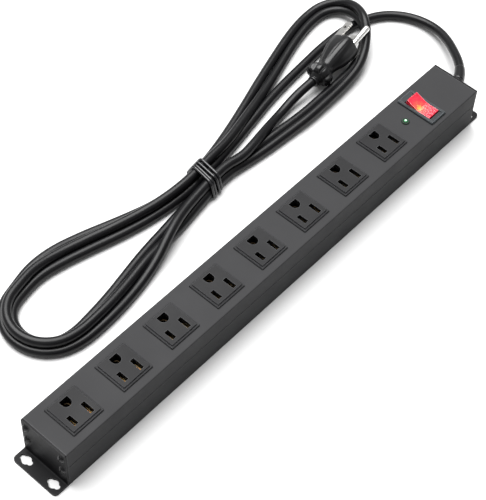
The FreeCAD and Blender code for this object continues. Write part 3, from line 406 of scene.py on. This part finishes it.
def remap(tree, value, low, high, to_low, to_high):
    """Maps low..high of a value to to_low..to_high, and holds it at those ends."""
    node = tree.nodes.new("ShaderNodeMapRange")
    ends = {"From Min": low, "From Max": high, "To Min": to_low, "To Max": to_high}
    for socket, number in ends.items():
        node.inputs[socket].default_value = number
    tree.links.new(value, node.inputs["Value"])
    return node.outputs["Result"]


def mix_colours(tree, factor, first, second):
    """From first, a colour or another node's output, to the colour second."""
    node = tree.nodes.new("ShaderNodeMix")
    node.data_type = "RGBA"
    tree.links.new(factor, node.inputs["Factor"])
    if isinstance(first, bpy.types.NodeSocket):
        tree.links.new(first, node.inputs["A"])
    else:
        node.inputs["A"].default_value = (*first, 1)
    node.inputs["B"].default_value = (*second, 1)
    return node.outputs["Result"]


def bump(tree, shader, height, depth):
    node = tree.nodes.new("ShaderNodeBump")
    node.inputs["Distance"].default_value = depth
    node.inputs["Strength"].default_value = 1.0
    tree.links.new(height, node.inputs["Height"])
    tree.links.new(node.outputs["Normal"], shader.inputs["Normal"])


def highlight_edge_mask(tree, radius):
    """Rises from 0 on flat and gently curved skin to 1 along sharp edges, where a highlight is
    painted.
    """
    rounded = tree.nodes.new("ShaderNodeBevel")
    rounded.samples = 6
    rounded.inputs["Radius"].default_value = radius
    plain = tree.nodes.new("ShaderNodeNewGeometry")
    match = tree.nodes.new("ShaderNodeVectorMath")
    match.operation = "DOT_PRODUCT"
    tree.links.new(rounded.outputs["Normal"], match.inputs[0])
    tree.links.new(plain.outputs["True Normal"], match.inputs[1])
    return remap(tree, match.outputs["Value"], NORMALS_FLAT, NORMALS_EDGE, 0.0, 1.0)


def wall_shade_mask(tree):
    """1 on upright faces, 0 on those that look up; it marks where shade is painted."""
    coords = tree.nodes.new("ShaderNodeTexCoord")
    parts = tree.nodes.new("ShaderNodeSeparateXYZ")
    tree.links.new(coords.outputs["Normal"], parts.inputs["Vector"])
    return remap(tree, parts.outputs["Z"], WALL_NONE, WALL_FULL, 0.0, 1.0)


def surface(name, colour, roughness, metallic=0.0, grain=1500.0, depth=0.00003, shade=0.12,
            stretch=(1, 1, 1), cloud=45.0, edge_highlight=None, shaded_walls=None, **constants):
    """A moulded, painted or metal finish: cloudy shade, patchy gloss and a fine grain in relief.

    The colours given for sharp edges and for upright faces are a painted highlight and painted
    shade, where they differ."""
    material, tree, shader = new_material(name)
    patches = noise(tree, cloud, detail=4.0)
    fine = noise(tree, grain, detail=3.0, stretch=stretch)
    dark = [c * (1 - shade) for c in colour]
    light = [min(1.0, c * (1 + shade)) for c in colour]
    tint = mix_colours(tree, patches, dark, light)
    # Painted shade: upright faces take a darker colour.
    if shaded_walls:
        tint = mix_colours(tree, wall_shade_mask(tree), tint, shaded_walls)
    # Painted highlight: sharp edges take a lighter colour.
    if edge_highlight:
        tint = mix_colours(tree, highlight_edge_mask(tree, EDGE_HIGHLIGHT_REACH), tint, edge_highlight)
    tree.links.new(tint, shader.inputs["Base Color"])
    gloss = remap(tree, patches, NOISE_LOW, NOISE_HIGH, roughness - GLOSS_SPREAD,
                  roughness + GLOSS_SPREAD)
    tree.links.new(gloss, shader.inputs["Roughness"])
    shader.inputs["Metallic"].default_value = metallic
    for key, number in constants.items():
        shader.inputs[key.replace("_", " ")].default_value = number
    bump(tree, shader, fine, depth)
    return material


def distance_from(tree, centre):
    """How far a point of the surface is from centre, in metres."""
    coords = tree.nodes.new("ShaderNodeTexCoord")
    reach = tree.nodes.new("ShaderNodeVectorMath")
    reach.operation = "DISTANCE"
    reach.inputs[1].default_value = centre
    tree.links.new(coords.outputs["Object"], reach.inputs[0])
    return reach.outputs["Value"]


def ramp(tree, value, stops):
    node = tree.nodes.new("ShaderNodeValToRGB")
    elements = node.color_ramp.elements
    while len(elements) < len(stops):
        elements.new(0.5)
    for element, (place, colour) in zip(elements, stops):
        element.position = place
        element.color = (*colour, 1)
    tree.links.new(value, node.inputs["Fac"])
    return node.outputs["Color"]


FACET_SHARE, FACET_RELIEF = 0.30, 0.00012
SIDE_FACING, UP_FACING = 0.1, 0.9
SHADED_SIDES_GLOW = 0.15              # the share of the glow that faces which don't look up keep, as painted shade
COAT, COAT_ROUGHNESS = 0.3, 0.10


def math_node(tree, operation, value, number):
    node = tree.nodes.new("ShaderNodeMath")
    node.operation = operation
    node.inputs[1].default_value = number
    tree.links.new(value, node.inputs[0])
    return node


def glowing(name, centre, reach, body, glow, roughness, strength, facets=700.0, rim_highlight=None):
    """A faceted plastic lit from inside: colour and glow follow the distance from the lamp."""
    material, tree, shader = new_material(name)
    coords = tree.nodes.new("ShaderNodeTexCoord")
    cells = tree.nodes.new("ShaderNodeTexVoronoi")
    cells.inputs["Scale"].default_value = facets
    tree.links.new(coords.outputs["Object"], cells.inputs["Vector"])
    away = math_node(tree, "DIVIDE", distance_from(tree, centre), reach)
    mottled = math_node(tree, "MULTIPLY_ADD", cells.outputs["Distance"], FACET_SHARE)
    tree.links.new(away.outputs["Value"], mottled.inputs[2])
    tint = ramp(tree, mottled.outputs["Value"], body)
    # Painted highlight: a pale colour along sharp edges.
    if rim_highlight:
        tint = mix_colours(tree, highlight_edge_mask(tree, RIM_HIGHLIGHT_REACH), tint, rim_highlight)
    tree.links.new(tint, shader.inputs["Base Color"])
    # Painted shade: faces that don't look up glow less than the top.
    upward = tree.nodes.new("ShaderNodeSeparateXYZ")
    tree.links.new(coords.outputs["Normal"], upward.inputs["Vector"])
    power = remap(tree, upward.outputs["Z"], SIDE_FACING, UP_FACING, SHADED_SIDES_GLOW * strength, strength)
    tree.links.new(power, shader.inputs["Emission Strength"])
    tree.links.new(ramp(tree, mottled.outputs["Value"], glow), shader.inputs["Emission Color"])
    shader.inputs["Roughness"].default_value = roughness
    shader.inputs["Coat Weight"].default_value = COAT
    shader.inputs["Coat Roughness"].default_value = COAT_ROUGHNESS
    bump(tree, shader, cells.outputs["Distance"], FACET_RELIEF)
    return material


rocker_low, rocker_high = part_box("switch_rocker")
lens_low, lens_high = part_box("led_lens")
LAMP_BACK, LAMP_DEPTH = 0.0026, 0.004      # from the rocker's middle, and below its top
LAMP = Vector(((rocker_low.x + rocker_high.x) / 2 - LAMP_BACK, 0.0, rocker_high.z - LAMP_DEPTH))
LENS_TOP = Vector(((lens_low.x + lens_high.x) / 2, (lens_low.y + lens_high.y) / 2, lens_high.z))
# Colour stops by distance from the lamp, as shares of its reach.
ROCKER_BODY = [(0.0, (0.80, 0.22, 0.03)), (0.35, (0.55, 0.02, 0.03)), (1.0, (0.32, 0.004, 0.018))]
ROCKER_GLOW = [(0.22, (1.0, 0.52, 0.06)), (0.42, (1.0, 0.12, 0.03)), (0.75, (0.62, 0.012, 0.035)),
               (1.0, (0.26, 0.002, 0.016))]
LENS_BODY = [(0.25, (0.85, 1.0, 0.88)), (0.6, (0.04, 0.30, 0.10)), (0.9, (0.002, 0.03, 0.01))]
LENS_GLOW = [(0.25, (0.75, 1.0, 0.80)), (0.6, (0.05, 0.40, 0.14)), (0.9, (0.0, 0.02, 0.006))]

# One finish for each of the record's material slots.
# Colours given for sharp edges are painted highlights, and the one for upright faces is painted
# shade.
finishes = {
    "shell": surface("shell", (0.022, 0.022, 0.023), 0.60, grain=2600, depth=0.00002, shade=0.05,
                     edge_highlight=(0.10, 0.10, 0.105), Specular_IOR_Level=0.12),
    "screw_steel": surface("screw_steel", (0.002, 0.002, 0.0025), 0.24, grain=1800,
                           stretch=(1, 6, 1), Specular_IOR_Level=0.3),
    "outlet_plastic": surface("outlet_plastic", (0.0090, 0.0090, 0.0096), 0.5, grain=3200,
                              shade=0.06, edge_highlight=(0.085, 0.085, 0.09),
                              shaded_walls=(0.003, 0.003, 0.003), Specular_IOR_Level=0.12),
    "brass": surface("brass", (0.78, 0.56, 0.26), 0.28, 1.0, grain=900, stretch=(1, 8, 1),
                     shade=0.18),
    "pin_nickel": surface("pin_nickel", (0.80, 0.79, 0.77), 0.16, 1.0, grain=1100,
                          stretch=(1, 6, 1), depth=0.00001),
    "tray_plastic": surface("tray_plastic", (0.60, 0.59, 0.54), 0.5),
    "switch_plastic": surface("switch_plastic", (0.019, 0.022, 0.024), 0.42, grain=2800,
                              edge_highlight=(0.09, 0.10, 0.11), Specular_IOR_Level=0.2),
    "rocker_red": glowing("rocker_red", LAMP, 0.0125, ROCKER_BODY, ROCKER_GLOW, 0.25, 0.62,
                          rim_highlight=(0.95, 0.55, 0.58)),
    "lamp_glow": glowing("lamp_glow", LAMP, 0.006, ROCKER_BODY, ROCKER_GLOW, 0.15, 1.6),
    "spring_steel": surface("spring_steel", (0.55, 0.55, 0.56), 0.3, 1.0, grain=2200),
    "led_holder": surface("led_holder", (0.002, 0.014, 0.005), 0.4, grain=2800,
                          Specular_IOR_Level=0.2),
    "led_green": glowing("led_green", LENS_TOP, 0.0019, LENS_BODY, LENS_GLOW, 0.3, 0.45, 1500.0),
    "board_green": surface("board_green", (0.03, 0.22, 0.10), 0.4, grain=700, shade=0.25,
                           cloud=160),
    "disc_blue": surface("disc_blue", (0.05, 0.15, 0.45), 0.35, grain=1400, shade=0.2),
    "fuse_body": surface("fuse_body", (0.72, 0.69, 0.60), 0.45),
    "capacitor_yellow": surface("capacitor_yellow", (0.78, 0.55, 0.08), 0.35),
    "wire_black": surface("wire_black", (0.02, 0.02, 0.02), 0.42),
    "wire_white": surface("wire_white", (0.78, 0.78, 0.76), 0.42),
    "wire_green": surface("wire_green", (0.03, 0.33, 0.10), 0.42),
    "cord_sheath": surface("cord_sheath", (0.0035, 0.0035, 0.004), 0.34, grain=1300,
                           depth=0.00004, shade=0.2, Specular_IOR_Level=0.2),
    "tie_black": surface("tie_black", (0.005, 0.005, 0.006), 0.22, grain=1700, shade=0.2),
    "moulded_black": surface("moulded_black", (0.004, 0.004, 0.0045), 0.30, grain=1500,
                             depth=0.00004, Specular_IOR_Level=0.3),
}

# The end plates look darker than the casing; the ground bus is darker, as painted shade in its
# holes.
# The end plates' sharp edges take a painted highlight.
bracket = surface("bracket_black", (0.0035, 0.0035, 0.004), 0.5, grain=2600, depth=0.00002,
                  shade=0.1, edge_highlight=(0.03, 0.03, 0.031), Specular_IOR_Level=0.10)
shaded_bronze = surface("bronze_in_painted_shade", (0.05, 0.035, 0.02), 0.45, 1.0, grain=900, stretch=(1, 8, 1),
                 shade=0.2)
special = {"end_bracket_near": bracket, "end_bracket_far": bracket, "ground_bus": shaded_bronze}
for name, node in NODES.items():
    for holder in node.material_slots:
        holder.material = special.get(name) or finishes[holder.material.name.split(".")[0]]


# ---- bodies, slots and replaced solids ----------------------------------------------------------
PIECES = ((cord, "casing", "cord_sheath"), (tie, "casing", "tie_black"),
          (boot, "casing", "moulded_black"), (plug, "casing", "moulded_black"),
          (spring, "rocker", "spring_steel"))
for piece, body, slot in PIECES:
    piece.data.materials.append(finishes[slot])
    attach(piece, body)

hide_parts("cord_lead", "cord_hank", "cord_tail")
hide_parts("cord_tie")
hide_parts("cord_boot")
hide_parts("plug_body")
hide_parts("switch_spring")

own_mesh(spring)


# ---- floor and lights ---------------------------------------------------------------------------
FLOOR_HALF_SIZE, FLOOR_Z = 3.0, -0.0002


def add_floor():
    build = bmesh.new()
    bmesh.ops.create_grid(build, x_segments=1, y_segments=1, size=FLOOR_HALF_SIZE)
    mesh = bpy.data.meshes.new("floor")
    build.to_mesh(mesh)
    build.free()
    floor = link("floor", mesh)
    floor.location.z = FLOOR_Z
    paper = surface("floor_paper", (0.55, 0.55, 0.55), 0.8, shade=0.01, grain=400, cloud=6)
    mesh.materials.append(paper)


def add_soft_key(toward, spread_degrees, strength):
    """Even light over the whole floor, as soft as a large softbox overhead."""
    data = bpy.data.lights.new("key", "SUN")
    data.angle = math.radians(spread_degrees)
    data.energy = strength
    light = link("key", data)
    light.rotation_mode = "QUATERNION"
    light.rotation_quaternion = Vector(toward).to_track_quat("-Z", "Y")


def add_world(brightness):
    world = bpy.data.worlds.new("studio")
    world.use_nodes = True
    background = world.node_tree.nodes["Background"]
    background.inputs["Color"].default_value = (1, 1, 1, 1)
    background.inputs["Strength"].default_value = brightness
    bpy.context.scene.world = world


add_floor()
add_soft_key(toward=(-0.08, -0.32, -1.0), spread_degrees=58, strength=8.0)
add_world(brightness=0.5)
bpy.context.scene.view_settings.view_transform = "Standard"
